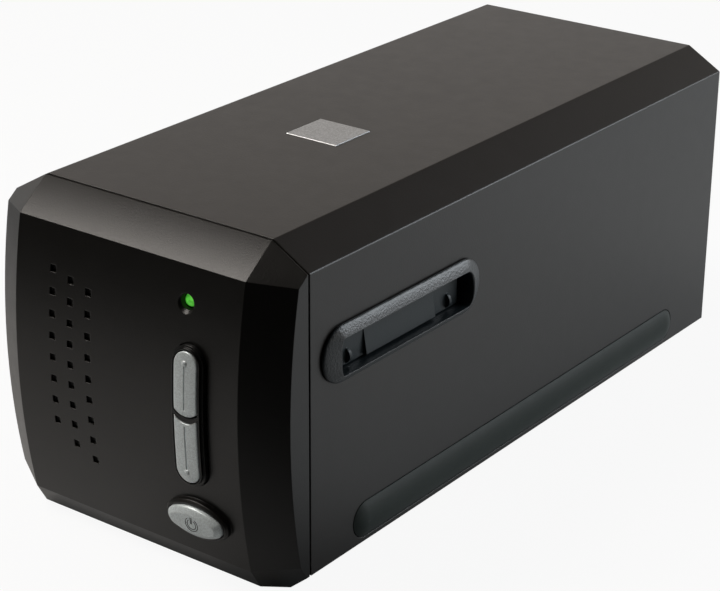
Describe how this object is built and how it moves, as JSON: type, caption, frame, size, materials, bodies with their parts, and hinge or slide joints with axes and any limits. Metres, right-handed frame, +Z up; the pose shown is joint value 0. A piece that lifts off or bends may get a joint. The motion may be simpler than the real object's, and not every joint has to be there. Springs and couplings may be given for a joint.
{
  "type": "film negative scanner",
  "caption": "Tabletop film scanner: deep faceted case, film slot with dust flap on both sides, scan keys, lamp and power button on the bowed front, scanning carriage inside.",
  "frame": {"origin": "on the ground under the middle of the part", "axes": "+X to the right seen from the front, +Y to the rear, +Z up; the front faces -Y"},
  "size_m": [0.126, 0.2724, 0.1162],
  "materials": {
    "bezel_black": "fine satin moulding",
    "cover_grey": "fine even texture",
    "base_black": "fine texture",
    "panel_grey": "fine texture",
    "rubber_black": "matt",
    "rubber_grey": "matt",
    "screw_steel": "zinc plated",
    "emblem_silver": "brushed",
    "trim_black": "satin gloss",
    "key_silver": "silver lacquer",
    "plunger_white": "natural",
    "switch_black": "moulded",
    "board_green": "solder mask",
    "lamp_green": "clear tinted",
    "ribbon_grey": "flexible",
    "chip_black": "moulded",
    "shell_steel": "tin plated",
    "frame_plastic": "glass filled",
    "gate_black": "matt",
    "nylon_white": "natural",
    "spring_steel": "drawn wire",
    "ground_steel": "ground",
    "sheet_steel": "zinc plated",
    "carriage_black": "glass filled",
    "bronze": "sintered",
    "mirror_glass": "front silvered",
    "lens_metal": "black anodised",
    "lens_glass": "coated",
    "ceramic_grey": "ceramic",
    "housing_white": "white inside",
    "opal_white": "opal",
    "belt_black": "reinforced",
    "motor_steel": "zinc plated",
    "brass_gear": "turned",
    "surround_grey": "fine texture",
    "flap_black": "fine texture"
  },
  "bodies": {
    "case": {"front_bezel": "bezel_black", "top_cover": "cover_grey", "base_tray": "base_black", "rear_panel": "panel_grey", "rubber_feet": "rubber_black", "fixing_screws": "screw_steel", "emblem_plate": "emblem_silver", "button_surround": "trim_black", "tact_switches": "switch_black", "button_board": "board_green", "status_lamp": "lamp_green", "button_ribbon": "ribbon_grey", "main_board": "board_green", "board_chips": "chip_black", "power_jack": "switch_black", "data_socket": "shell_steel", "chassis_frame": "frame_plastic", "film_gate_lower": "gate_black", "film_gate_upper": "gate_black", "detent_spring": "spring_steel", "flap_springs": "spring_steel", "guide_rod": "ground_steel", "rod_clamps": "sheet_steel", "slide_rail": "sheet_steel", "drive_belt": "belt_black", "pulley_axles": "ground_steel", "motor_bracket": "sheet_steel", "stepper_motor": "motor_steel", "slot_surround_right": "surround_grey", "slot_surround_left": "surround_grey", "flap_pin_right": "ground_steel", "flap_pin_left": "ground_steel", "rubber_strip_right": "rubber_grey", "rubber_strip_left": "rubber_grey"},
    "scan_carriage": {"optics_carriage": "carriage_black", "carriage_bushings": "bronze", "carriage_skid": "nylon_white", "scan_mirror": "mirror_glass", "lens_barrel": "lens_metal", "lens_glass": "lens_glass", "lens_strap": "sheet_steel", "sensor_board": "board_green", "line_sensor": "ceramic_grey", "light_housing": "housing_white", "light_board": "board_green", "light_diffuser": "opal_white", "belt_clamp": "nylon_white"},
    "drive_wheel": {"drive_gear": "nylon_white"},
    "idler_wheel": {"idler_pulley": "nylon_white"},
    "motor_rotor": {"motor_pinion": "brass_gear"},
    "right_flap": {"dust_flap_right": "flap_black"},
    "left_flap": {"dust_flap_left": "flap_black"},
    "upper_key": {"scan_key_upper": "key_silver", "upper_key_plunger": "plunger_white"},
    "lower_key": {"scan_key_lower": "key_silver", "lower_key_plunger": "plunger_white"},
    "power_key": {"power_button": "key_silver", "power_key_plunger": "plunger_white"},
    "detent_arm": {"detent_lever": "nylon_white"},
    "detent_wheel": {"detent_roller": "nylon_white"}
  },
  "joints": [
    {"name": "carriage_travel", "type": "slide", "parent": "case", "child": "scan_carriage", "axis": [0, -1, 0], "range_m": [0, 0.028]},
    {"name": "drive_gear_spin", "type": "hinge", "parent": "case", "child": "drive_wheel", "pos_m": [0.042, 0.0952, 0.03965], "axis": [0, 0, 1], "range_deg": [0, 321]},
    {"name": "idler_spin", "type": "hinge", "parent": "case", "child": "idler_wheel", "pos_m": [0.042, -0.1013, 0.04365], "axis": [0, 0, 1], "range_deg": [0, 321]},
    {"name": "motor_spin", "type": "hinge", "parent": "case", "child": "motor_rotor", "pos_m": [0.0244, 0.0952, 0.03965], "axis": [0, 0, 1], "range_deg": [-856, 0]},
    {"name": "right_flap_swing", "type": "hinge", "parent": "case", "child": "right_flap", "pos_m": [0.0576, -0.068, 0.08215], "axis": [0, 1, 0], "range_deg": [0, 85], "stiffness_Nm_per_rad": 0.0006, "springref_deg": -28.65},
    {"name": "left_flap_swing", "type": "hinge", "parent": "case", "child": "left_flap", "pos_m": [-0.0576, -0.068, 0.08215], "axis": [0, -1, 0], "range_deg": [0, 85], "stiffness_Nm_per_rad": 0.0006, "springref_deg": -28.65},
    {"name": "upper_key_press", "type": "slide", "parent": "case", "child": "upper_key", "axis": [0, 1, 0], "range_m": [0, 0.0008], "stiffness_N_per_m": 800, "springref_m": -0.001},
    {"name": "lower_key_press", "type": "slide", "parent": "case", "child": "lower_key", "axis": [0, 1, 0], "range_m": [0, 0.0008], "stiffness_N_per_m": 800, "springref_m": -0.001},
    {"name": "power_button_press", "type": "slide", "parent": "case", "child": "power_key", "axis": [0, 1, 0], "range_m": [0, 0.0012], "stiffness_N_per_m": 700, "springref_m": -0.001},
    {"name": "detent_lever_swing", "type": "hinge", "parent": "case", "child": "detent_arm", "pos_m": [0.02, -0.10725, 0.0774], "axis": [0, 0, 1], "range_deg": [0, 5], "stiffness_Nm_per_rad": 0.05, "springref_deg": -5.73},
    {"name": "detent_roller_spin", "type": "hinge", "parent": "detent_arm", "child": "detent_wheel", "pos_m": [0, -0.10345, 0.0774], "axis": [0, 0, 1], "continuous": true}
  ],
  "couplings": [
    {"joint": "drive_gear_spin", "follows": "carriage_travel", "rad_per_m": 200},
    {"joint": "idler_spin", "follows": "carriage_travel", "rad_per_m": 200},
    {"joint": "motor_spin", "follows": "carriage_travel", "rad_per_m": -533.33}
  ]
}
